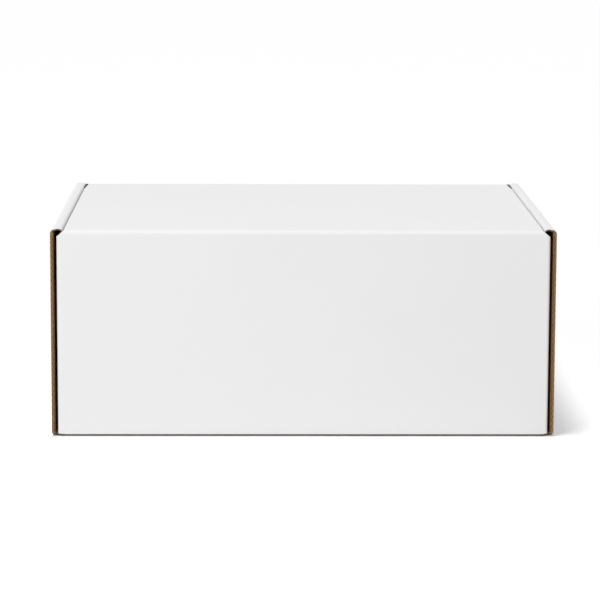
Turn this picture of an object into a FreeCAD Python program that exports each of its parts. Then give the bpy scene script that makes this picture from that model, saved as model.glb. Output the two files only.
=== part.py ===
import FreeCAD, Part
import os
import Sketcher

# A corrugated mailer box, folded from one die-cut sheet of E-flute board and closed.
# The tray stands on the floor, the lid hangs on the top edge of its back wall, and the lid's
# front flap covers the front wall. Millimetres, +Z up, -Y is the front. The origin is on the
# floor, at the middle of the box's footprint.

DRIVING_SIZES = [
    ("board", 1.6, "thickness of the E-flute board"),
    ("outer_width", 260.0, "left side wall to right side wall, outside"),
    ("outer_depth", 209.0, "front flap to back wall, outside"),
    ("outer_height", 108.0, "floor to the top of the rolled side walls"),
    ("layer_gap", 0.1, "air between two layers that lie on each other"),
    ("ear_play", 1.6, "room between a side wall and the ear beside it"),
    ("lid_drop", 0.5, "lid's top below the rolled side walls"),
    ("lid_side_gap", 0.4, "air between the lid's edge and a rolled side wall"),
    ("lid_rest_gap", 0.4, "air between the lid and the front wall's top edge"),
    ("lid_notch", 0.8, "depth of the notch in the lid's edge before the back crease"),
    ("lid_notch_length", 9.0, "front of that notch before the back"),
    ("crease_round", 2.2, "outer radius of the lid's two creases"),
    ("roll_round", 2.4, "outer radius of the two folds in a rolled side wall"),
    ("floor_gap", 0.9, "front flap's lower edge above the floor"),
    ("strip_setback", 2.0, "front end of the rolled top strip behind the front"),
    ("strip_nose", 1.0, "part of that strip beside its outer fold that is not set back"),
    ("end_gap", 0.3, "air between an inner wall's end and the wall that it faces"),
    ("shoulder_start", 6.0, "depth at which an inner wall starts to lean in"),
    ("shoulder_end", 20.0, "depth at which it has cleared the corner flaps"),
    ("foot_gap", 0.2, "inner wall's lower edge above the base"),
    ("corner_drop", 24.0, "corner flap's upper edge below the top"),
    ("corner_rise", 3.0, "corner flap's lower edge above the floor, at its fold"),
    ("corner_length", 78.0, "corner flap's length along the side wall"),
    ("corner_taper", 7.0, "corner flap's narrowing towards its free end, each edge"),
    ("corner_cut", 8.0, "cut across the free corners of a corner flap"),
    ("tab_length", 34.0, "length of a locking tab along the inner wall"),
    ("tab_place", 52.0, "middle of a locking tab from the middle of the box"),
    ("tab_taper", 2.0, "narrowing of a tab towards its tip, each end"),
    ("tab_short", 0.2, "tab's tip above the floor"),
    ("slot_play", 0.4, "room around a tab in its slot"),
    ("flap_shoulder", 0.8, "height over which the front flap widens below the lid's crease"),
    ("flap_corner", 0.5, "cut across the front flap's lower corners"),
    ("ear_top_drop", 14.0, "ear's upper edge below the front crease"),
    ("ear_bottom_drop", 98.0, "ear's free lower corner below the front crease"),
    ("ear_foot", 1.4, "ear's lower edge above the floor, at its fold"),
    ("sweep_gap", 0.3, "air between a moving edge and what it passes"),
]

# Places that follow from the sizes, written for the sketches. Distances named "in" run from a
# side wall's outer face towards the middle of the box.
BOARD = "dims.board"
GAP = "dims.layer_gap"
HALF = "(dims.outer_width / 2)"
FRONT = "(-dims.outer_depth / 2)"
BACK = "(dims.outer_depth / 2)"
TOP = "dims.outer_height"
LID_TOP = "(dims.outer_height - dims.lid_drop)"
LID_UNDER = f"({LID_TOP} - {BOARD})"
FRONT_WALL = f"({FRONT} + {BOARD} + {GAP})"
FRONT_FOLD = f"({FRONT_WALL} + {BOARD})"
BACK_FOLD = f"({BACK} - {BOARD})"
EAR_IN = f"({BOARD} + dims.ear_play)"
CORNER_IN = f"({EAR_IN} + {BOARD} + {GAP})"
ROLL = f"({CORNER_IN} + {BOARD})"
INNER_IN = f"({ROLL} + {GAP})"
INNER_FACE = f"({INNER_IN} + {BOARD})"
LID_HALF = f"({HALF} - {ROLL} - dims.lid_side_gap)"
FRONT_HALF = f"({HALF} - {CORNER_IN} - {BOARD})"
BACK_HALF = f"({HALF} - 2 * {BOARD} - {GAP})"
FLAP_HALF = f"({HALF} - {EAR_IN} - {BOARD})"
# The lid's creases bend about a centre inside the board, and each turns about the middle of
# its outer curve, where the two panels' mitred ends meet.
CREASE = "dims.crease_round"
CREASE_IN = f"({CREASE} - {BOARD})"
CREASE_Z = f"({LID_TOP} - {CREASE})"
FRONT_CREASE = (f"({FRONT} + {CREASE})", CREASE_Z)
BACK_CREASE = (f"({BACK} - {CREASE})", CREASE_Z)
HINGE_Z = f"({CREASE_Z} + {CREASE} * sqrt(0.5))"
FRONT_HINGE_Y = f"({FRONT_CREASE[0]} - {CREASE} * sqrt(0.5))"
BACK_HINGE_Y = f"({BACK_CREASE[0]} + {CREASE} * sqrt(0.5))"
MITRE_Z = f"({CREASE_Z} + {CREASE_IN} * sqrt(0.5))"
FRONT_MITRE = (f"({FRONT_CREASE[0]} - {CREASE_IN} * sqrt(0.5))", MITRE_Z)
BACK_MITRE = (f"({BACK_CREASE[0]} + {CREASE_IN} * sqrt(0.5))", MITRE_Z)
NOTCH_HALF = f"({LID_HALF} - dims.lid_notch)"


def number(owner, expression):
    """Value of an expression on the sheet's sizes."""
    value = owner.evalExpression(expression)
    return float(getattr(value, "Value", value))


def draw_loop(sketch, corners):
    """Close a loop of straight edges and arcs, every corner tied to the sheet.

    A corner is (x, y), or (x, y, radius, (centre x, centre y)) where an arc arrives at it.
    """
    places = []
    for corner in corners:
        places.append(FreeCAD.Vector(number(sketch, corner[0]), number(sketch, corner[1]), 0))
    edges = []
    for index, corner in enumerate(corners):
        begin = places[index - 1]
        end = places[index]
        if len(corner) == 2:
            edge = sketch.addGeometry(Part.LineSegment(begin, end), False)
            edges.append((edge, 1, 2))
            continue
        centre = FreeCAD.Vector(number(sketch, corner[3][0]), number(sketch, corner[3][1]), 0)
        turn = (begin - centre).cross(end - centre).z
        low, high = (begin, end) if turn > 0 else (end, begin)
        circle = Part.Circle(centre, FreeCAD.Vector(0, 0, 1), (begin - centre).Length)
        arc = Part.ArcOfCircle(circle, circle.parameter(low), circle.parameter(high))
        edge = sketch.addGeometry(arc, False)
        edges.append((edge, 1, 2) if turn > 0 else (edge, 2, 1))
        fixed = sketch.addConstraint(Sketcher.Constraint("Radius", edge, circle.Radius))
        sketch.setExpression(f"Constraints[{fixed}]", corner[2])
    for index, corner in enumerate(corners):
        edge, _, end = edges[index]
        following, begin, _ = edges[(index + 1) % len(edges)]
        sketch.addConstraint(Sketcher.Constraint("Coincident", edge, end, following, begin))
        for kind, expression, value in (
            ("DistanceX", corner[0], places[index].x),
            ("DistanceY", corner[1], places[index].y),
        ):
            fixed = sketch.addConstraint(Sketcher.Constraint(kind, -1, 1, edge, end, value))
            sketch.setExpression(f"Constraints[{fixed}]", expression)


def pad(body, name, plane, start, length, *loops):
    """Sketch the loops on one of the body's own planes and pad them towards plus."""
    across_y = plane == "XZ_Plane"
    sketch = body.newObject("Sketcher::SketchObject", f"{name}_outline")
    support = next(item for item in body.Origin.OriginFeatures if item.Role == plane)
    sketch.AttachmentSupport = (support, [""])
    sketch.MapMode = "FlatFace"
    offset = f"-({start})" if across_y else start
    sketch.setExpression("AttachmentOffset.Base.z", offset)
    for loop in loops:
        draw_loop(sketch, loop)
    feature = body.newObject("PartDesign::Pad", name)
    feature.Profile = sketch
    feature.Reversed = across_y
    feature.setExpression("Length", length)
    body.Tip = feature
    return feature


def mirror_across_middle(body, name, features):
    """Repeat the left-hand features on the right."""
    mirrored = body.newObject("PartDesign::Mirrored", name)
    mirrored.Originals = features
    middle = next(item for item in body.Origin.OriginFeatures if item.Role == "YZ_Plane")
    mirrored.MirrorPlane = (middle, [""])
    body.Tip = mirrored


def rectangle(left, low, right, high):
    return [(left, low), (right, low), (right, high), (left, high)]


def quarter(x, y, toward_x, toward_y):
    """Quarter round of one board's thickness about the inner corner of a fold."""
    side = f"{x} {toward_x} {BOARD}"
    cap = f"{y} {toward_y} {BOARD}"
    return [(x, y), (side, y), (x, cap, BOARD, (x, y))]


def bend(x, y, toward_x, toward_y, radius):
    """Rounded fold: the board turns a quarter about (x, y), with this radius outside."""
    inside = f"({radius} - {BOARD})"
    return [
        (x, f"{y} {toward_y} {inside}"),
        (f"{x} {toward_x} {inside}", y, inside, (x, y)),
        (f"{x} {toward_x} {radius}", y),
        (x, f"{y} {toward_y} {radius}", radius, (x, y)),
    ]


def new_body(name):
    body = doc.addObject("PartDesign::Body", name)
    body.Label = name
    body.Placement = FreeCAD.Placement()
    return body


def left(distance):
    """Place on the left half, at a distance in from the side wall's outer face."""
    return f"(-{HALF} + {distance})"


def slot(side, end):
    """Slot in the base for one locking tab."""
    outer = f"{side} * ({HALF} - {INNER_IN} + dims.slot_play)"
    inner = f"{side} * ({HALF} - {INNER_FACE} - dims.slot_play)"
    middle = f"{end} * dims.tab_place"
    reach = "(dims.tab_length / 2 + dims.slot_play)"
    return rectangle(outer, f"{middle} - {reach}", inner, f"{middle} + {reach}")


def corner_flap_outline(fold, direction):
    """Tapered flap with its free corners cut, running along a side wall from its fold."""
    low = "dims.corner_rise"
    high = f"({TOP} - dims.corner_drop)"
    taper = "dims.corner_taper"
    cut = "dims.corner_cut"
    near_end = f"{fold} {direction} (dims.corner_length - {cut})"
    end = f"{fold} {direction} dims.corner_length"
    return [
        (fold, low),
        (near_end, f"{low} + {taper}"),
        (end, f"{low} + {taper} + {cut}"),
        (end, f"{high} - {taper} - {cut}"),
        (near_end, f"{high} - {taper}"),
        (fold, high),
    ]


def build_tray():
    """Base, walls, corner flaps and rolled side walls: one folded sheet."""
    body = new_body("tray")
    base_depth = f"{BACK_FOLD} - {FRONT_FOLD}"
    base = rectangle(f"-{HALF} + {BOARD}", FRONT_FOLD, f"{HALF} - {BOARD}", BACK_FOLD)
    slots = [slot(side, end) for side in (-1, 1) for end in (-1, 1)]
    pad(body, "base", "XY_Plane", "0", BOARD, base, *slots)

    # Front wall, folded up from the base.
    front_top = f"({LID_UNDER} - dims.lid_rest_gap)"
    pad(body, "front_wall_fold", "YZ_Plane", f"-{FRONT_HALF}", f"2 * {FRONT_HALF}",
        quarter(FRONT_FOLD, BOARD, "-", "-"))
    pad(body, "front_wall", "XZ_Plane", FRONT_WALL, BOARD,
        rectangle(f"-{FRONT_HALF}", BOARD, FRONT_HALF, front_top))

    # Back wall, with its own half of the lid's crease on top.
    pad(body, "back_wall_fold", "YZ_Plane", f"-{BACK_HALF}", f"2 * {BACK_HALF}",
        quarter(BACK_FOLD, BOARD, "+", "-"))
    pad(body, "back_wall", "XZ_Plane", BACK_FOLD, BOARD,
        rectangle(f"-{BACK_HALF}", BOARD, BACK_HALF, CREASE_Z))
    pad(body, "lid_crease", "YZ_Plane", f"-{LID_HALF}", f"2 * {LID_HALF}", [
        (BACK_FOLD, CREASE_Z, CREASE_IN, BACK_CREASE),
        (BACK, CREASE_Z),
        (BACK_HINGE_Y, HINGE_Z, CREASE, BACK_CREASE),
        BACK_MITRE,
    ])

    # Left side wall, rolled over at the top. The right one is its mirror image.
    roll = "dims.roll_round"
    roll_z = f"({TOP} - {roll})"
    roll_end = left(f"{ROLL} - {roll}")
    side = [
        pad(body, "side_wall_fold", "XZ_Plane", FRONT_FOLD, base_depth,
            quarter(left(BOARD), BOARD, "-", "-")),
        pad(body, "side_wall", "YZ_Plane", left(0), BOARD,
            rectangle(FRONT, BOARD, BACK, roll_z)),
        pad(body, "roll_fold", "XZ_Plane", FRONT, "dims.outer_depth",
            bend(left(roll), roll_z, "-", "+", roll)),
        pad(body, "top_strip", "XY_Plane", f"{TOP} - {BOARD}", BOARD, [
            (left(roll), FRONT),
            (f"{left(BOARD)} + dims.strip_nose", FRONT),
            (left(f"{EAR_IN} - dims.sweep_gap"), f"{FRONT} + dims.strip_setback"),
            (roll_end, f"{FRONT} + dims.strip_setback"),
            (roll_end, BACK),
            (left(roll), BACK),
        ]),
        pad(body, "inner_fold", "XZ_Plane", f"{FRONT} + dims.strip_setback",
            "dims.outer_depth - dims.strip_setback",
            bend(roll_end, roll_z, "+", "+", roll)),
    ]

    # Inner wall: it leans in below the roll, over the flaps in the channel, and then drops.
    inner_front = f"({FRONT_FOLD} + dims.end_gap)"
    inner_back = f"({BACK_FOLD} - dims.end_gap)"
    lean_top = f"{TOP} - dims.shoulder_start"
    lean_low = f"{TOP} - dims.shoulder_end"
    foot = f"{BOARD} + dims.foot_gap"
    side.append(pad(body, "inner_wall", "XZ_Plane", inner_front,
                    f"{inner_back} - {inner_front}", [
        (left(f"{ROLL} - {BOARD}"), roll_z),
        (left(f"{ROLL} - {BOARD}"), lean_top),
        (left(INNER_IN), lean_low),
        (left(INNER_IN), foot),
        (left(INNER_FACE), foot),
        (left(INNER_FACE), lean_low),
        (left(ROLL), lean_top),
        (left(ROLL), roll_z),
    ]))
    for place, end in (("front", -1), ("back", 1)):
        middle = f"{end} * dims.tab_place"
        root = "dims.tab_length / 2"
        tip = "(dims.tab_length / 2 - dims.tab_taper)"
        side.append(pad(body, f"{place}_tab", "YZ_Plane", left(INNER_IN), BOARD, [
            (f"{middle} - {tip}", "dims.tab_short"),
            (f"{middle} + {tip}", "dims.tab_short"),
            (f"{middle} + {root}", foot),
            (f"{middle} - {root}", foot),
        ]))

    # Corner flaps of the front and back walls, held in the channel of the side wall.
    corner_height = f"{TOP} - dims.corner_drop - dims.corner_rise"
    side.append(pad(body, "front_corner_fold", "XY_Plane", "dims.corner_rise", corner_height,
                    quarter(f"(-{FRONT_HALF})", FRONT_FOLD, "-", "-")))
    side.append(pad(body, "front_corner_flap", "YZ_Plane", f"-{FRONT_HALF} - {BOARD}", BOARD,
                    corner_flap_outline(FRONT_FOLD, "+")))
    side.append(pad(body, "back_corner_fold", "XY_Plane", "dims.corner_rise", corner_height,
                    quarter(f"(-{BACK_HALF})", BACK_FOLD, "-", "+")))
    side.append(pad(body, "back_corner_flap", "YZ_Plane", f"-{BACK_HALF} - {BOARD}", BOARD,
                    corner_flap_outline(BACK_FOLD, "-")))
    mirror_across_middle(body, "right_hand_side", side)
    return body


def build_lid():
    """Flat panel between two creases, both mitred through the board."""
    body = new_body("lid")
    notch = f"({BACK} - dims.lid_notch_length)"
    pad(body, "lid_panel", "YZ_Plane", f"-{LID_HALF}", f"2 * {LID_HALF}", [
        (FRONT_CREASE[0], LID_UNDER, CREASE_IN, FRONT_CREASE),
        (notch, LID_UNDER),
        (notch, LID_TOP),
        (FRONT_CREASE[0], LID_TOP),
        (FRONT_HINGE_Y, HINGE_Z, CREASE, FRONT_CREASE),
        FRONT_MITRE,
    ])
    pad(body, "lid_neck", "YZ_Plane", f"-{NOTCH_HALF}", f"2 * {NOTCH_HALF}",
        rectangle(notch, LID_UNDER, BACK_CREASE[0], LID_TOP))
    pad(body, "lid_back", "YZ_Plane", f"-{LID_HALF}", f"2 * {LID_HALF}", [
        (BACK_CREASE[0], LID_UNDER),
        (*BACK_MITRE, CREASE_IN, BACK_CREASE),
        (BACK_HINGE_Y, HINGE_Z),
        (BACK_CREASE[0], LID_TOP, CREASE, BACK_CREASE),
    ])
    return body


def build_front_flap():
    """Front panel of the lid with an ear folded back at each side."""
    body = new_body("front_flap")
    inner_face = f"({FRONT} + {BOARD})"
    shoulder = f"({CREASE_Z} - dims.flap_shoulder)"
    low = "dims.floor_gap"
    cut = "dims.flap_corner"
    pad(body, "flap_panel", "XZ_Plane", FRONT, BOARD, [
        (f"-{FLAP_HALF} + {cut}", low),
        (f"{FLAP_HALF} - {cut}", low),
        (FLAP_HALF, f"{low} + {cut}"),
        (FLAP_HALF, shoulder),
        (LID_HALF, CREASE_Z),
        (f"-{LID_HALF}", CREASE_Z),
        (f"-{FLAP_HALF}", shoulder),
        (f"-{FLAP_HALF}", f"{low} + {cut}"),
    ])
    pad(body, "flap_crease", "YZ_Plane", f"-{LID_HALF}", f"2 * {LID_HALF}", [
        (inner_face, CREASE_Z, CREASE_IN, FRONT_CREASE),
        (FRONT, CREASE_Z),
        (FRONT_HINGE_Y, HINGE_Z, CREASE, FRONT_CREASE),
        FRONT_MITRE,
    ])

    # Ear: its curved edge clears the rolled wall's front end when the lid swings up.
    fold_low = "dims.ear_foot"
    strip_reach = f"({BACK_HINGE_Y} - {FRONT} - dims.strip_setback)"
    strip_corner = f"sqrt({strip_reach}^2 + ({HINGE_Z} - {TOP} + {BOARD})^2)"
    sweep = f"({strip_corner} + dims.sweep_gap)"
    ear_top = "dims.ear_top_drop"
    ear_low = "dims.ear_bottom_drop"
    side = [
        pad(body, "ear_fold", "XY_Plane", fold_low, f"{shoulder} - {fold_low}",
            quarter(f"(-{FLAP_HALF})", inner_face, "-", "-")),
        pad(body, "ear", "YZ_Plane", f"-{FLAP_HALF} - {BOARD}", BOARD, [
            (inner_face, fold_low),
            (f"{BACK_HINGE_Y} - sqrt({sweep}^2 - {ear_low}^2)", f"{HINGE_Z} - {ear_low}"),
            (f"{BACK_HINGE_Y} - sqrt({sweep}^2 - {ear_top}^2)", f"{HINGE_Z} - {ear_top}",
             sweep, (BACK_HINGE_Y, HINGE_Z)),
            (inner_face, f"{HINGE_Z} - {ear_top}"),
        ]),
    ]
    mirror_across_middle(body, "right_ear", side)
    return body


doc = FreeCAD.newDocument("mailer_box")
sheet = doc.addObject("Spreadsheet::Sheet", "dims")
for row, (alias, size, meaning) in enumerate(DRIVING_SIZES, start=1):
    sheet.set(f"A{row}", meaning)
    sheet.set(f"B{row}", str(size))
    sheet.setAlias(f"B{row}", alias)
doc.recompute()

nodes = [build_tray(), build_lid(), build_front_flap()]
doc.recompute()

for item in doc.Objects:
    if "Invalid" in item.State or "Error" in item.State:
        raise RuntimeError(f"{item.Name} failed: {item.State}")
os.makedirs("parts", exist_ok=True)
for node in nodes:
    shape = node.Shape
    if shape.isNull() or not shape.isValid() or len(shape.Solids) != 1:
        raise RuntimeError(f"{node.Label} is not one valid solid")
for node in nodes:
    node.Shape.exportStep(f"parts/{node.Label}.step")
    box = node.Shape.BoundBox
    print(node.Label, "volume", round(node.Shape.Volume), "mm3, box",
          [round(value, 2) for value in (box.XMin, box.YMin, box.ZMin)],
          [round(value, 2) for value in (box.XMax, box.YMax, box.ZMax)])
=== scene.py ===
import math

import bmesh
import bpy
from mathutils import Matrix, Vector


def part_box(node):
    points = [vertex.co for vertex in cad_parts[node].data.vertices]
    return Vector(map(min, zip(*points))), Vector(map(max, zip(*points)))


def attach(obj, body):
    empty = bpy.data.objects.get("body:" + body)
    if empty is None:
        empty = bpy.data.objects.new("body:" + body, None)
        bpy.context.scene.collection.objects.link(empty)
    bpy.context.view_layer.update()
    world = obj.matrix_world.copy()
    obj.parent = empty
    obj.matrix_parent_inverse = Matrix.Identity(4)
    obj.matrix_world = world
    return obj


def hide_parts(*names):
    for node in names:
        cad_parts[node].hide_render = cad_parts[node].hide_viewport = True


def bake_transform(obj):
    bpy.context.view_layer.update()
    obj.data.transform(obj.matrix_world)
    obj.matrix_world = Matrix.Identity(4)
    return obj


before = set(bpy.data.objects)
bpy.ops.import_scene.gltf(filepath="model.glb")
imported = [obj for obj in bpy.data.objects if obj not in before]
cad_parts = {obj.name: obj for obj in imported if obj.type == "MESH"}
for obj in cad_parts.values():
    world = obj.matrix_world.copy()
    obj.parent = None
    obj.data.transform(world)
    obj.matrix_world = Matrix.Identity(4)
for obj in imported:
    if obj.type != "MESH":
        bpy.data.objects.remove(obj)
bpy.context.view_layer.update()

# A closed mailer box of white-lined E-flute board. Metres, +Z up, the front faces -Y.
MM = 0.001
tray_low, tray_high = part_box("tray")
lid_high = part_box("lid")[1]
flap_low, flap_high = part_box("front_flap")

# The board: two liners, the wavy medium between them, and how deep the core lies in a cut.
BOARD = 1.6 * MM
LINER = 0.27 * MM
MEDIUM = 0.2 * MM
MEDIUM_SETBACK = 0.05 * MM
FLUTE_PITCH = 3.3 * MM
WAVE_STEPS = 12
END_RECESS = 0.7 * MM
SIDE_RECESS = 0.5 * MM

# Folds: their outer radii, and how far the board is pressed where two of them meet.
CREASE_ROUND = 2.2 * MM
CREASE_STEPS = 12
ROLL_ROUND = 2.4 * MM
CRUSH_REACH = 6 * MM
CRUSHED_SHARE = 0.42
CRUSHED_TURN = math.radians(60)
# Heights at the floor below which painted shade darkens the walls' ends and the fold under the
# front wall.
END_SHADE_HEIGHT = 2 * MM
FOOT_SHADE_HEIGHT = 1.3 * MM

# Places on the folded sheet, from the frame.
LAYER_GAP = 0.1 * MM
LID_GAP = 0.4 * MM
END_GAP = 0.3 * MM
FRONT_WALL_BACK = flap_low.y + 2 * BOARD + LAYER_GAP
LID_UNDER = lid_high.z - BOARD
FRONT_WALL_TOP = LID_UNDER - LID_GAP
BACK_WALL_FRONT = tray_high.y - BOARD
INNER_WALL_FRONT = FRONT_WALL_BACK + END_GAP
WALL_ENDS = tray_high.y - 4.5 * MM
ROLL_WIDTH = tray_high.x - lid_high.x - LID_GAP
ROLL_Z = tray_high.z - ROLL_ROUND
OUTER_FOLD_X = tray_high.x - ROLL_ROUND
INNER_FOLD_X = tray_high.x - ROLL_WIDTH + ROLL_ROUND
STRIP_FRONT = tray_low.y + 2 * MM
CREASE_Z = lid_high.z - CREASE_ROUND
CREASE_FOOT = CREASE_Z - CREASE_ROUND
LID_SEAM = tray_high.y - 2 * CREASE_ROUND
NOTCH_DEPTH = 1.1 * MM
NOTCH_RUN = 26 * MM
NOTCH_HALF = lid_high.x - NOTCH_DEPTH
FLAP_FACE_HALF = flap_high.x - BOARD
FLAP_EDGE = flap_low.z + 0.3 * MM
SHOULDER_HALF = flap_high.x - 0.5 * MM
SHOULDER_FOOT = CREASE_Z - 0.8 * MM
SHOULDER_SLOPE = Vector((2.8, 0, 3.2)).normalized()

# How faces are told apart: lengths, angles, and the least share of a normal along its axis.
TINY = 0.01 * MM
MERGED = TINY / 10
FLAT = math.radians(0.5)
FOLD_FACET = math.radians(16)
SHARP = math.radians(30)
STRAIGHT = 0.99
SLANTED = 0.5
TURNED = 0.1
WIDER_THAN_AN_EDGE = 1.2 * BOARD
SHORT_OUTLINE = 5 * BOARD
SEAM_AREA = 100 * MM * MM

# Slots of every board piece, in the order in which finish_board gives the materials.
WHITE, KRAFT, CUT, CORE, CRUSHED_SHADE, CREVICE_SHADE, FOOT_SHADE = range(7)


# Board, cut and folded

def merge(bm):
    """Join doubled points, and flat neighbours into whole faces."""
    bmesh.ops.remove_doubles(bm, verts=bm.verts, dist=MERGED)
    bmesh.ops.dissolve_limit(bm, angle_limit=FLAT, verts=bm.verts, edges=bm.edges)


def node_board(name):
    """A copy of one node's solid as a bmesh."""
    bm = bmesh.new()
    bm.from_mesh(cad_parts[name].data)
    merge(bm)
    return bm


def to_object(name, bm):
    """Put a bmesh in the scene and let it go."""
    mesh = bpy.data.meshes.new(name)
    bm.to_mesh(mesh)
    bm.free()
    piece = bpy.data.objects.new(name, mesh)
    bpy.context.scene.collection.objects.link(piece)
    return piece


def cut_away(bm, low, high):
    """Take a block out of the board."""
    block = bmesh.new()
    bmesh.ops.create_cube(block, size=1)
    bmesh.ops.scale(block, vec=high - low, verts=block.verts)
    bmesh.ops.translate(block, vec=(low + high) / 2, verts=block.verts)
    cutter = to_object("block", block)
    board = to_object("uncut", bm)
    cut = board.modifiers.new("cut", "BOOLEAN")
    cut.operation = "DIFFERENCE"
    cut.solver = "EXACT"
    cut.object = cutter
    scene_state = bpy.context.evaluated_depsgraph_get()
    result = bmesh.new()
    result.from_mesh(board.evaluated_get(scene_state).to_mesh())
    for used in (board, cutter):
        mesh = used.data
        bpy.data.objects.remove(used)
        bpy.data.meshes.remove(mesh)
    merge(result)
    return result


def divide(bm, point, normal, clear_outer=False):
    """Draw a line across the board's faces where a plane meets them."""
    everything = bm.verts[:] + bm.edges[:] + bm.faces[:]
    bmesh.ops.bisect_plane(bm, geom=everything, dist=MERGED, plane_co=point,
                           plane_no=normal, clear_outer=clear_outer)


def slice_off(bm, point, normal):
    """Cut straight across the board and close the cut."""
    divide(bm, point, normal, clear_outer=True)
    bmesh.ops.holes_fill(bm, edges=[edge for edge in bm.edges if edge.is_boundary])


def grown_parts(result, kind):
    """What an extrusion has made of one kind, such as its new vertices."""
    return [item for item in result["geom"] if isinstance(item, kind)]


def reached_from(faces):
    """Every face that these reach without a sharp turn."""
    found = set(faces)
    waiting = list(faces)
    while waiting:
        face = waiting.pop()
        for edge in face.edges:
            if edge.calc_face_angle(math.pi) > FOLD_FACET:
                continue
            fresh = [other for other in edge.link_faces if other not in found]
            found.update(fresh)
            waiting.extend(fresh)
    return found


def line_board(bm, outside):
    """White liner on the outside of the sheet, kraft inside, and bare edges between them."""
    bm.normal_update()
    start = max(bm.faces, key=lambda face: (face.normal.dot(outside) > STRAIGHT,
                                            face.calc_area()))
    white = reached_from([start])
    wide = [face for face in bm.faces if face not in white
            and 2 * face.calc_area() / face.calc_perimeter() > WIDER_THAN_AN_EDGE]
    kraft = reached_from(wide)
    for face in bm.faces:
        face.material_index = WHITE if face in white else KRAFT if face in kraft else CUT


def mark(bm, slot, is_meant):
    """Give another slot to every face that is meant; is_meant gets the face and its centre."""
    for face in bm.faces:
        if is_meant(face, face.calc_center_median()):
            face.material_index = slot


def in_crevice(face):
    """Whether a strip of cut liner lies on the inner side of a side wall, where it gets painted
    shade.
    """
    return tray_high.x - BOARD < abs(face.calc_center_median().x) < tray_high.x - BOARD + LINER


def open_edges(bm, recess):
    """Set the core back between the liners along every bare edge, by what recess tells."""
    bm.normal_update()
    bare = [face for face in bm.faces if face.material_index == CUT]
    for face in bare:
        if face.calc_perimeter() < SHORT_OUTLINE:
            continue
        depth = recess(face)
        rim = bmesh.ops.inset_region(bm, faces=[face], thickness=LINER,
                                     use_even_offset=True)["faces"]
        for strip in rim:
            # Liner cuts on the inner side of a side wall get painted shade.
            if abs(face.normal.y) > STRAIGHT and in_crevice(strip):
                strip.material_index = CREVICE_SHADE
        bmesh.ops.inset_region(bm, faces=[face], thickness=TINY, depth=-depth,
                               use_even_offset=True)
        face.material_index = CORE


def finish_piece(name, bm, materials):
    """Make a closed shape a piece of the box, smooth only round its folds."""
    bmesh.ops.recalc_face_normals(bm, faces=bm.faces)
    piece = to_object(name, bm)
    for material in materials:
        piece.data.materials.append(material)
    for polygon in piece.data.polygons:
        polygon.use_smooth = True
    piece.data.set_sharp_from_angle(angle=SHARP)
    return piece


def finish_board(name, bm):
    """Make folded board a piece with its liners and edges."""
    piece = finish_piece(name, bm, (white_liner, kraft_liner, cut_edge, core_shadow,
                                    crushed_shaded_edge, crevice_shade_edge, foot_shade_liner))
    weights = piece.modifiers.new("fold_normals", "WEIGHTED_NORMAL")
    weights.keep_sharp = True
    return piece


def fluting(name, start, end, inward, across):
    """Wavy medium between the liners, seen where an edge cuts across the flutes."""
    bm = bmesh.new()
    run = end - start
    height = (BOARD - 2 * LINER - MEDIUM) / 2
    steps = round(run.length / FLUTE_PITCH * WAVE_STEPS)
    previous = None
    for step in range(steps + 1):
        along = run * (step / steps)
        wave = height * math.cos(2 * math.pi * along.length / FLUTE_PITCH)
        vertex = bm.verts.new(start + along + across * wave + inward * MEDIUM_SETBACK)
        if previous:
            bm.edges.new((previous, vertex))
        previous = vertex
    swept = bmesh.ops.extrude_edge_only(bm, edges=bm.edges[:])
    bmesh.ops.translate(bm, vec=inward * (END_RECESS - 2 * MEDIUM_SETBACK),
                        verts=grown_parts(swept, bmesh.types.BMVert))
    bmesh.ops.recalc_face_normals(bm, faces=bm.faces)
    bmesh.ops.solidify(bm, geom=bm.faces[:], thickness=MEDIUM)
    return finish_piece(name, bm, [fluting_medium])


# Finishes

def linear(hex_colour):
    """sRGB hex to linear RGBA."""
    channels = [int(hex_colour[i:i + 2], 16) / 255 for i in (1, 3, 5)]
    return [c / 12.92 if c <= 0.04045 else ((c + 0.055) / 1.055) ** 2.4 for c in channels] + [1]


def add(tree, kind, settings=None, values=None, links=None):
    """Add a node with its settings, fixed socket values and incoming links."""
    node = tree.nodes.new(kind)
    for key, value in (settings or {}).items():
        setattr(node, key, value)
    for socket, value in (values or {}).items():
        node.inputs[socket].default_value = value
    for socket, source in (links or {}).items():
        tree.links.new(source, node.inputs[socket])
    return node


def new_material(name):
    """A material with an empty node tree."""
    material = bpy.data.materials.new(name)
    material.use_nodes = True
    material.node_tree.nodes.clear()
    return material, material.node_tree


def washboard(tree, place):
    """Height of the faint ridges that the flutes print through a liner, -1 to 1.

    Flutes run front to back in the base, the lid and the side walls, and up in the front and
    back walls. So the ridges repeat along Z in a panel that faces sideways, and else along X.
    """
    split = add(tree, "ShaderNodeSeparateXYZ", links={0: place})
    normal = add(tree, "ShaderNodeNewGeometry")
    facing = add(tree, "ShaderNodeSeparateXYZ", links={0: normal.outputs["True Normal"]})
    sideways = add(tree, "ShaderNodeMath", {"operation": "ABSOLUTE"},
                   links={0: facing.outputs["X"]})
    is_side = add(tree, "ShaderNodeMath", {"operation": "GREATER_THAN"}, {1: 0.7},
                  {0: sideways.outputs[0]})
    along = add(tree, "ShaderNodeMix", {"data_type": "FLOAT"}, links={
        0: is_side.outputs[0], 2: split.outputs["X"], 3: split.outputs["Z"]})
    phase = add(tree, "ShaderNodeMath", {"operation": "MULTIPLY"},
                {1: 2 * math.pi / FLUTE_PITCH}, {0: along.outputs[0]})
    return add(tree, "ShaderNodeMath", {"operation": "SINE"}, links={0: phase.outputs[0]})


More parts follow.
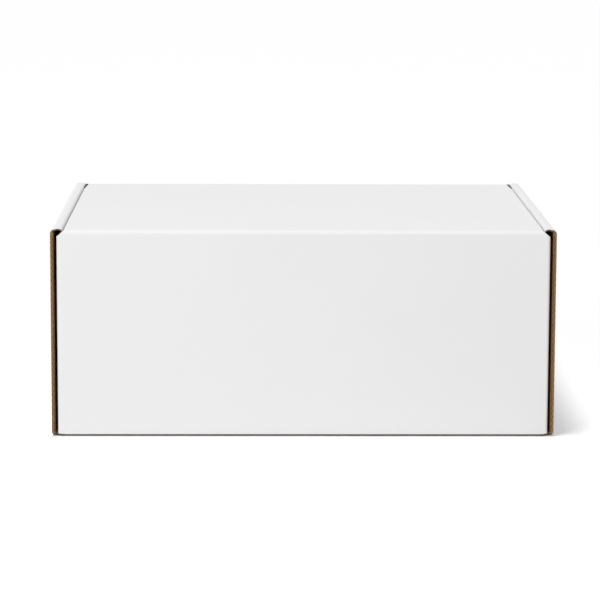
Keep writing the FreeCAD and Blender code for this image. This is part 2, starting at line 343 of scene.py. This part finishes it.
def paper(name, tones, roughness, sheen, fibre_mm, fibre_relief, ridge_relief):
    """A paper face: two close tones in soft clouds, felted fibres and printed-through flutes."""
    tone, pale, fleck_tone = (linear(hex_colour) for hex_colour in tones)
    material, tree = new_material(name)
    place = add(tree, "ShaderNodeTexCoord").outputs["Object"]
    cloud = add(tree, "ShaderNodeTexNoise", values={"Scale": 1 / (45 * MM), "Detail": 3},
                links={"Vector": place})
    fleck = add(tree, "ShaderNodeTexNoise", values={
        "Scale": 1 / (fibre_mm * MM), "Detail": 4, "Roughness": 0.65, "Distortion": 0.4,
    }, links={"Vector": place})
    clouds = add(tree, "ShaderNodeMix", {"data_type": "RGBA"}, {6: tone, 7: pale},
                 {0: cloud.outputs[0]})
    spots = add(tree, "ShaderNodeMapRange", values={"From Min": 0.56, "From Max": 0.8},
                links={"Value": fleck.outputs[0]})
    colour = add(tree, "ShaderNodeMix", {"data_type": "RGBA"}, {7: fleck_tone}, {
        0: spots.outputs[0], 6: clouds.outputs[2]})
    ridges = washboard(tree, place)
    relief = add(tree, "ShaderNodeMath", {"operation": "MULTIPLY"}, {1: ridge_relief * MM},
                 {0: ridges.outputs[0]})
    fibres = add(tree, "ShaderNodeMath", {"operation": "MULTIPLY_ADD"},
                 {1: fibre_relief * MM}, {0: fleck.outputs[0], 2: relief.outputs[0]})
    bump = add(tree, "ShaderNodeBump", values={"Strength": 1.0, "Distance": 1.0},
               links={"Height": fibres.outputs[0]})
    shader = add(tree, "ShaderNodeBsdfPrincipled", values={
        "Roughness": roughness, "Specular IOR Level": sheen,
    }, links={"Base Color": colour.outputs[2], "Normal": bump.outputs[0]})
    add(tree, "ShaderNodeOutputMaterial", links={"Surface": shader.outputs[0]})
    return material


def bare_fibre(name, light, dark, grain_mm, roughness):
    """Torn and cut kraft fibre: rough, with strands of lighter and darker brown."""
    material, tree = new_material(name)
    place = add(tree, "ShaderNodeTexCoord").outputs["Object"]
    grain = add(tree, "ShaderNodeTexNoise", values={
        "Scale": 1 / (grain_mm * MM), "Detail": 5, "Roughness": 0.7}, links={"Vector": place})
    spread = add(tree, "ShaderNodeMapRange", values={"From Min": 0.35, "From Max": 0.68},
                 links={"Value": grain.outputs[0]})
    colour = add(tree, "ShaderNodeMix", {"data_type": "RGBA"}, {
        6: linear(dark), 7: linear(light)}, {0: spread.outputs[0]})
    height = add(tree, "ShaderNodeMath", {"operation": "MULTIPLY"}, {1: 0.08 * MM},
                 {0: grain.outputs[0]})
    bump = add(tree, "ShaderNodeBump", values={"Strength": 1.0, "Distance": 1.0},
               links={"Height": height.outputs[0]})
    shader = add(tree, "ShaderNodeBsdfPrincipled", values={"Roughness": roughness},
                 links={"Base Color": colour.outputs[2], "Normal": bump.outputs[0]})
    add(tree, "ShaderNodeOutputMaterial", links={"Surface": shader.outputs[0]})
    return material


# White clay-coated kraft, calendered: an even white with a soft sheen and hardly any fibre.
white_liner = paper("clay_coated_white_liner", ("#EEEEEE", "#F1F1F1", "#EBEBEB"),
                    roughness=0.66, sheen=0.3, fibre_mm=0.5, fibre_relief=0.004,
                    ridge_relief=0.006)
# The same liner painted grey and matt along the fold under the front wall, as painted shade in
# the slot under the flap.
foot_shade_liner = paper("white_liner_painted_foot_shade", ("#ACACAC", "#B4B4B4", "#A4A4A4"),
                     roughness=0.8, sheen=0.2, fibre_mm=0.5, fibre_relief=0.004,
                     ridge_relief=0)
# Natural kraft liner, machine glazed: warm brown with dark fibre flecks.
kraft_liner = paper("kraft_liner", ("#B18A60", "#BC966C", "#94703F"),
                    roughness=0.78, sheen=0.5, fibre_mm=0.6, fibre_relief=0.02,
                    ridge_relief=0.012)
# Liners cut by a steel rule: matt brown fibre with pale and dark strands.
cut_edge = bare_fibre("kraft_cut_edge", "#D2AE82", "#9C7850", grain_mm=0.5, roughness=0.9)
# The core deep between the liners: the same brown, painted a little darker as the shade deep in
# the cut.
core_shadow = bare_fibre("core_between_liners", "#BC986A", "#75532C", grain_mm=0.8,
                         roughness=0.95)
# Board pressed flat and cut: its brown layers squeezed to a thin line, painted dark and greyish
# as painted shade, for bare edges that lie in gaps and hollows.
crushed_shaded_edge = bare_fibre("crushed_cut_edge_painted_shade", "#8C7E72", "#4C433B", grain_mm=0.5,
                          roughness=0.9)
# The liner's cut on the inner side of a wall, painted dark brown as the shade in the crevice
# beside the flap.
crevice_shade_edge = bare_fibre("cut_edge_painted_crevice_shade", "#5C3C1C", "#35200C", grain_mm=0.5,
                          roughness=0.9)
# Fluting medium: thin kraft with pale cut rims, which stand out from the darker core.
fluting_medium = bare_fibre("fluting_medium", "#D9B88C", "#A98255", grain_mm=0.6,
                            roughness=0.92)


# Tray: base, walls, corner flaps and rolled side walls

def tray_recess(face):
    """Deepest where the flutes end: side walls, inner walls, wall tops."""
    centre = face.calc_center_median()
    if abs(face.normal.y) > STRAIGHT and abs(centre.y) > WALL_ENDS:
        return END_RECESS
    if face.normal.z > STRAIGHT and centre.z > FRONT_WALL_TOP - MM:
        return END_RECESS
    return SIDE_RECESS


def crushed_place(place):
    """Where a point of a rolled strip goes when the strip's ends are pressed thin."""
    x = abs(place.x)
    axis_x = min(max(x, INNER_FOLD_X), OUTER_FOLD_X)
    arm = Vector((x - axis_x, place.z - ROLL_Z))
    near_end = max(1 - (place.y - STRIP_FRONT) / CRUSH_REACH,
                   1 - (tray_high.y - place.y) / CRUSH_REACH, 0)
    if arm.length < TINY or near_end == 0:
        return place
    turned = 1.0
    if x > OUTER_FOLD_X:
        turned = min(1, math.atan2(arm.y, arm.x) / CRUSHED_TURN)
    thinning = 1 - (1 - CRUSHED_SHARE) * min(near_end, 1) * turned
    arm = arm.normalized() * (ROLL_ROUND - (ROLL_ROUND - arm.length) * thinning)
    return Vector((math.copysign(axis_x + arm.x, place.x), place.y, ROLL_Z + arm.y))


def crush_rolls(bm):
    """Press the board thin at the ends of the rolled strips, where two creases lie close."""
    divide(bm, Vector((0, 0, ROLL_Z)), Vector((0, 0, 1)))
    for end_y in (STRIP_FRONT + CRUSH_REACH, tray_high.y - CRUSH_REACH):
        divide(bm, Vector((0, end_y, 0)), Vector((0, 1, 0)))
    # The strips' bare ends get the dark crushed colour: partly the squeezed board, partly
    # painted shade at their recessed ends.
    mark(bm, CRUSHED_SHADE, lambda face, centre: face.material_index == CUT
         and abs(face.normal.y) > SLANTED and centre.z > ROLL_Z)
    for vert in bm.verts:
        if vert.co.z >= ROLL_Z - TINY and abs(vert.co.x) >= INNER_FOLD_X - 2 * ROLL_ROUND:
            vert.co = crushed_place(vert.co)


def mark_feet(bm):
    """Darken the walls' ends at the floor, and the fold under the front wall, with painted
    shade.

    At the walls' ends the sheet is creased and cut in one spot, and both marks are painted shade
    where the board meets the floor.
    """
    divide(bm, Vector((0, 0, END_SHADE_HEIGHT)), Vector((0, 0, 1)))
    mark(bm, CRUSHED_SHADE, lambda face, centre: face.material_index == CUT
         and abs(face.normal.y) > STRAIGHT and centre.z < END_SHADE_HEIGHT)
    divide(bm, Vector((0, 0, FOOT_SHADE_HEIGHT)), Vector((0, 0, 1)))
    mark(bm, FOOT_SHADE, lambda face, centre: face.material_index == WHITE
         and face.normal.y < -TURNED and centre.z < FOOT_SHADE_HEIGHT)


tray_board = cut_away(node_board("tray"),
                      Vector((-lid_high.x, BACK_WALL_FRONT - MM, CREASE_FOOT)),
                      Vector((lid_high.x, tray_high.y + MM, tray_high.z)))
line_board(tray_board, Vector((0, 0, -1)))
crush_rolls(tray_board)
mark_feet(tray_board)
open_edges(tray_board, tray_recess)
tray = finish_board("tray_sheet", tray_board)
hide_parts("tray")
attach(tray, "tray")


def ride_flutes(name, start, end, inward, across, body):
    """Fluting from start to end, fixed to a body."""
    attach(fluting(name, Vector(start), Vector(end), Vector(inward), Vector(across)), body)


middle_of_wall = tray_high.x - BOARD / 2
wall_foot = tray_low.z + BOARD + 0.5 * MM
inner_middle = tray_high.x - ROLL_WIDTH - LAYER_GAP - BOARD / 2
lean_low = tray_high.z - 20 * MM
for side, side_name in ((-1, "left"), (1, "right")):
    wall_x = side * middle_of_wall
    inner_x = side * inner_middle
    for end_y, inner_y, inward, end_name in (
        (tray_low.y, INNER_WALL_FRONT, 1, "front"),
        (tray_high.y, BACK_WALL_FRONT - END_GAP, -1, "back"),
    ):
        ride_flutes(f"{side_name}_wall_{end_name}_fluting", (wall_x, end_y, wall_foot),
                    (wall_x, end_y, ROLL_Z), (0, inward, 0), (1, 0, 0), "tray")
        ride_flutes(f"{side_name}_inner_wall_{end_name}_fluting", (inner_x, inner_y, wall_foot),
                    (inner_x, inner_y, lean_low), (0, inward, 0), (1, 0, 0), "tray")
front_wall_middle = FRONT_WALL_BACK - BOARD / 2
front_wall_half = tray_high.x - ROLL_WIDTH - END_GAP
ride_flutes("front_wall_top_fluting", (-front_wall_half, front_wall_middle, FRONT_WALL_TOP),
            (front_wall_half, front_wall_middle, FRONT_WALL_TOP), (0, 0, -1), (0, 1, 0), "tray")


# Lid and front flap, up to their creases

lid_board = node_board("lid")
for facing in (-1, 1):
    slice_off(lid_board, Vector((0, facing * LID_SEAM, 0)), Vector((0, facing, 0)))
for side in (-1, 1):
    notch_normal = Vector((side * NOTCH_RUN, NOTCH_DEPTH, 0)).normalized()
    slice_off(lid_board, Vector((side * NOTCH_HALF, tray_high.y - CREASE_ROUND, 0)),
              notch_normal)
line_board(lid_board, Vector((0, 0, 1)))
mark(lid_board, CORE, lambda face, centre: abs(face.normal.y) > STRAIGHT
     and abs(centre.y) > LID_SEAM - TINY)
open_edges(lid_board, lambda face: SIDE_RECESS)
# The lid's side edges get the darker, greyer crushed colour: painted shade in the narrow gaps
# beside the rolled strips.
mark(lid_board, CRUSHED_SHADE, lambda face, centre: face.material_index in (CUT, CORE)
     and abs(face.normal.x) > STRAIGHT)
lid = finish_board("lid_panel", lid_board)
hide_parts("lid")
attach(lid, "lid")

flap_board = cut_away(node_board("front_flap"),
                      Vector((-FLAP_FACE_HALF, flap_low.y - MM, CREASE_FOOT)),
                      Vector((FLAP_FACE_HALF, flap_low.y + 2 * CREASE_ROUND, tray_high.z)))
slice_off(flap_board, Vector((0, 0, FLAP_EDGE)), Vector((0, 0, -1)))
line_board(flap_board, Vector((0, -1, 0)))
mark(flap_board, CORE, lambda face, centre: face.normal.z > STRAIGHT
     and face.calc_area() > SEAM_AREA)
# Bare edges at the flap's top corners get the dark crushed colour: painted shade in the hollows
# under the strips' ends.
mark(flap_board, CRUSHED_SHADE, lambda face, centre: face.material_index == CUT
     and centre.z > CREASE_FOOT)
open_edges(flap_board, lambda face: END_RECESS if face.normal.z < -STRAIGHT else SIDE_RECESS)
flap = finish_board("front_flap_panel", flap_board)
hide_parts("front_flap")
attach(flap, "front_flap")

flap_middle = flap_low.y + BOARD / 2
flap_half = FLAP_FACE_HALF - BOARD
ride_flutes("flap_edge_fluting", (-flap_half, flap_middle, FLAP_EDGE),
            (flap_half, flap_middle, FLAP_EDGE), (0, 0, 1), (0, 1, 0), "front_flap")


# Creases: the sheet bends here between the back wall and the lid, and the lid and its flap

STRIP_PLAY = 0.15 * MM


def cut_end(bm, side, half, low, high):
    """Cut back a crease band beyond a half width, between two places (y, z)."""
    sides = sorted((side * half, side * tray_high.x))
    return cut_away(bm, Vector((sides[0], *low)), Vector((sides[1], *high)))


def bent_board(half_width, facing):
    """Board that turns from a wall's face into the lid; facing is -1 at the front."""
    bm = bmesh.new()
    outer_y = facing * tray_high.y
    corners = [bm.verts.new((-half_width, y, CREASE_FOOT))
               for y in (outer_y - facing * BOARD, outer_y)]
    edge = bm.edges.new(corners)

    def push(tip, move):
        grown = bmesh.ops.extrude_edge_only(bm, edges=[tip])
        tip = grown_parts(grown, bmesh.types.BMEdge)[0]
        bmesh.ops.translate(bm, vec=move, verts=tip.verts[:])
        return tip

    edge = push(edge, (0, 0, CREASE_ROUND))
    centre = (0, outer_y - facing * CREASE_ROUND, CREASE_Z)
    turned = bmesh.ops.spin(bm, geom=[edge], cent=centre, axis=(1, 0, 0),
                            angle=facing * math.pi / 2, steps=CREASE_STEPS)["geom_last"]
    edge = next(item for item in turned if isinstance(item, bmesh.types.BMEdge))
    push(edge, (0, -facing * CREASE_ROUND, 0))
    bmesh.ops.remove_doubles(bm, verts=bm.verts, dist=MERGED)
    bmesh.ops.solidify(bm, geom=bm.faces[:], thickness=2 * half_width)
    middle = sum(vert.co.x for vert in bm.verts) / len(bm.verts)
    bmesh.ops.translate(bm, vec=(-middle, 0, 0), verts=bm.verts)
    bmesh.ops.recalc_face_normals(bm, faces=bm.faces)
    return bm


def crease_piece(name, bm):
    """Lined board whose bare ends are squeezed and painted dark, as shade at the ends of the
    creases.
    """
    line_board(bm, Vector((0, 0, 1)))
    mark(bm, CRUSHED_SHADE, lambda face, centre: face.material_index == CUT)
    return finish_board(name, bm)


def back_crease():
    """From the back wall into the lid, with a notch at each end."""
    bm = bent_board(lid_high.x, 1)
    centre_y = tray_high.y - CREASE_ROUND
    for side in (-1, 1):
        bm = cut_end(bm, side, NOTCH_HALF, (centre_y - 2 * CREASE_ROUND, LID_UNDER - MM),
                     (centre_y, tray_high.z))
    band = crease_piece("back_crease", bm)
    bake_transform(band)


def front_crease():
    """From the lid into its flap, with sloping shoulders in front of the rolled strips."""
    bm = bent_board(SHOULDER_HALF, -1)
    outer_y = -tray_high.y
    centre_y = outer_y + CREASE_ROUND
    for side in (-1, 1):
        slice_off(bm, Vector((side * SHOULDER_HALF, 0, SHOULDER_FOOT)),
                  Vector((side * SHOULDER_SLOPE.x, 0, SHOULDER_SLOPE.z)))
        bm = cut_end(bm, side, lid_high.x, (STRIP_FRONT - STRIP_PLAY, LID_UNDER - MM),
                     (centre_y + 2 * CREASE_ROUND, tray_high.z))
        bm = cut_end(bm, side, FLAP_FACE_HALF, (outer_y - MM, CREASE_FOOT - MM),
                     (centre_y, SHOULDER_FOOT))
    band = crease_piece("front_crease", bm)
    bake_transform(band)


back_crease()
front_crease()

END_REACH = 15 * MM
END_SETBACK = 0.2 * MM
END_PLAY = 0.12 * MM
END_LID_PLAY = 0.05 * MM
END_TURN = math.radians(42)
END_STEPS = 6


def crease_end(side):
    """Squeezed board that closes the corner between the back crease and the rolled wall, painted
    dark all over as the shade in that corner.
    """
    bm = bmesh.new()
    front_y = BACK_WALL_FRONT - END_REACH
    back_y = tray_high.y - END_SETBACK
    hollow = ROLL_ROUND + END_PLAY
    edge_x = lid_high.x + END_LID_PLAY
    places = [(edge_x, ROLL_Z - END_SETBACK)]
    for step in range(END_STEPS + 1):
        turned = END_TURN * step / END_STEPS
        places.append((INNER_FOLD_X - hollow * math.cos(turned),
                       ROLL_Z + hollow * math.sin(turned)))
    places.append((edge_x, places[-1][1]))
    front = bm.faces.new([bm.verts.new((side * x, front_y, z)) for x, z in places])
    grown = bmesh.ops.extrude_face_region(bm, geom=[front])
    bmesh.ops.translate(bm, vec=(0, back_y - front_y, 0),
                        verts=grown_parts(grown, bmesh.types.BMVert))
    mark(bm, CRUSHED_SHADE, lambda face, centre: True)
    return bm


for side, side_name in ((-1, "left"), (1, "right")):
    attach(finish_board(f"{side_name}_crease_end", crease_end(side)), "tray")


# Studio: pale floor, white background, soft light from the upper left

WORLD_LIGHT = 0.525
FLOOR_GREY = 0.92
FLOOR_SEEN = 1.11
OVERHEAD_LIGHT = 1.17
OVERHEAD_SPREAD = math.radians(12)
OVERHEAD_FROM = Vector((-0.15, -0.08, 1))
FRONT_LAMP_WATTS = 4.4
FRONT_LAMP_PLACE = (-0.75, -1.1, 0.55)
FRONT_LAMP_TARGET = (0, -0.1, 0.05)
FRONT_LAMP_SIZE = 0.6


def seen_directly(tree):
    """1 for rays from the camera and from a gloss, 0 for all others."""
    path = add(tree, "ShaderNodeLightPath")
    return add(tree, "ShaderNodeMath", {"operation": "MAXIMUM"}, links={
        0: path.outputs["Is Camera Ray"], 1: path.outputs["Is Glossy Ray"]}).outputs[0]


def studio_floor():
    """Matt floor that keeps the shadow; to the camera it is white card, a little over white."""
    bm = bmesh.new()
    bmesh.ops.create_grid(bm, x_segments=1, y_segments=1, size=40)
    floor = to_object("floor", bm)
    material, tree = new_material("floor_paper")
    colour = add(tree, "ShaderNodeMix", {"data_type": "RGBA"}, {
        6: (FLOOR_GREY, FLOOR_GREY, FLOOR_GREY, 1), 7: (FLOOR_SEEN, FLOOR_SEEN, FLOOR_SEEN, 1),
    }, {0: seen_directly(tree)})
    matt = add(tree, "ShaderNodeBsdfDiffuse", links={"Color": colour.outputs[2]})
    add(tree, "ShaderNodeOutputMaterial", links={"Surface": matt.outputs[0]})
    floor.data.materials.append(material)


def white_studio():
    """Even light from all round, seen as plain white."""
    world = bpy.data.worlds.new("white_studio")
    world.use_nodes = True
    bpy.context.scene.world = world
    tree = world.node_tree
    tree.nodes.clear()
    strength = add(tree, "ShaderNodeMix", {"data_type": "FLOAT"}, {2: WORLD_LIGHT, 3: 1.0},
                   {0: seen_directly(tree)})
    sky = add(tree, "ShaderNodeBackground", values={"Color": linear("#FFFFFF")},
              links={"Strength": strength.outputs[0]})
    add(tree, "ShaderNodeOutputWorld", links={"Surface": sky.outputs[0]})


def overhead_light():
    """A large soft light above and a little to the left."""
    lamp = bpy.data.lights.new("overhead_softbox", "SUN")
    lamp.energy = OVERHEAD_LIGHT
    lamp.angle = OVERHEAD_SPREAD
    holder = bpy.data.objects.new("overhead_softbox", lamp)
    holder.rotation_euler = OVERHEAD_FROM.to_track_quat("Z", "Y").to_euler()
    bpy.context.scene.collection.objects.link(holder)


def front_light():
    """A square soft box in front, on the left."""
    lamp = bpy.data.lights.new("front_softbox", "AREA")
    lamp.shape = "RECTANGLE"
    lamp.size = lamp.size_y = FRONT_LAMP_SIZE
    lamp.energy = FRONT_LAMP_WATTS
    holder = bpy.data.objects.new("front_softbox", lamp)
    aim = Vector(FRONT_LAMP_TARGET) - Vector(FRONT_LAMP_PLACE)
    holder.matrix_world = (Matrix.Translation(FRONT_LAMP_PLACE)
                           @ aim.to_track_quat("-Z", "Y").to_matrix().to_4x4())
    holder.visible_camera = False
    bpy.context.scene.collection.objects.link(holder)


studio_floor()
overhead_light()
front_light()
white_studio()

# Camera: fitted to the photograph's edges, image 600 by 600
IMAGE = 600
FOCAL_PIXELS = 2831
CAMERA_PLACE = (-0.0253, -1.5426, 0.2983)
CAMERA_TURN = math.radians(-0.935)
CAMERA_DOWN = math.radians(8.959)
CAMERA_ROLL = math.radians(0.212)

camera_data = bpy.data.cameras.new("camera")
camera_data.sensor_width = 36
camera_data.lens = FOCAL_PIXELS / IMAGE * camera_data.sensor_width
camera_data.clip_end = 100
camera = bpy.data.objects.new("camera", camera_data)
turn = Matrix.Rotation(CAMERA_TURN, 4, "Z")
pitch = Matrix.Rotation(math.pi / 2 - CAMERA_DOWN, 4, "X")
roll = Matrix.Rotation(CAMERA_ROLL, 4, "Z")
camera.matrix_world = Matrix.Translation(CAMERA_PLACE) @ turn @ pitch @ roll
bpy.context.scene.collection.objects.link(camera)
bpy.context.scene.camera = camera
bpy.context.scene.view_settings.view_transform = "Standard"
